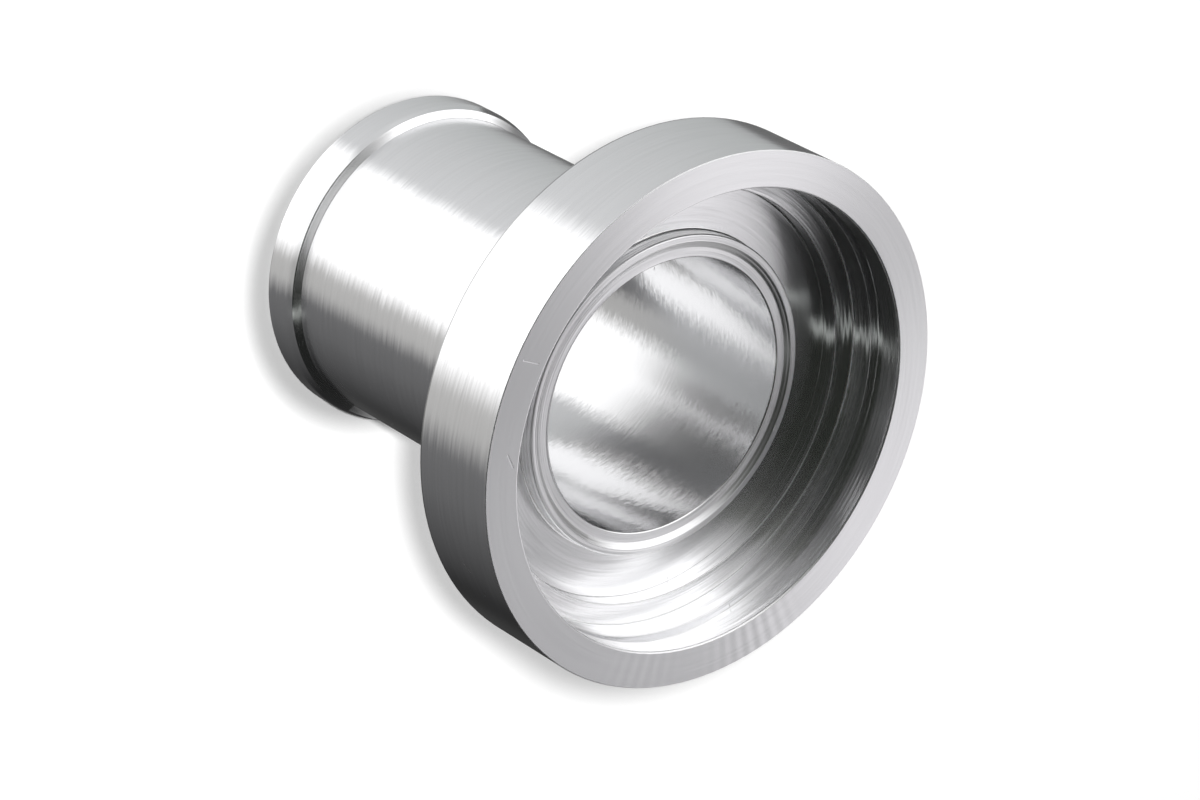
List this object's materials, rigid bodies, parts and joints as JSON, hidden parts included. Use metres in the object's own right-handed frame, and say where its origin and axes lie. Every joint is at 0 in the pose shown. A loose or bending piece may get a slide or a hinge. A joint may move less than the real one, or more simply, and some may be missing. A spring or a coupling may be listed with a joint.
{
  "type": "weld-on flange",
  "caption": "Turned aluminium flange with a stepped valve cup, a ring groove, a raised seat and a long beaded hose neck.",
  "frame": {"origin": "centre of the bead end's flat face, on which the part stands", "axes": "+Z along the axis, from the bead end to the mouth of the cup"},
  "size_m": [0.058, 0.058, 0.053],
  "materials": {
    "turned_aluminium": "bare, finely turned"
  },
  "bodies": {
    "root": {"weld_flange": "turned_aluminium"}
  },
  "joints": []
}
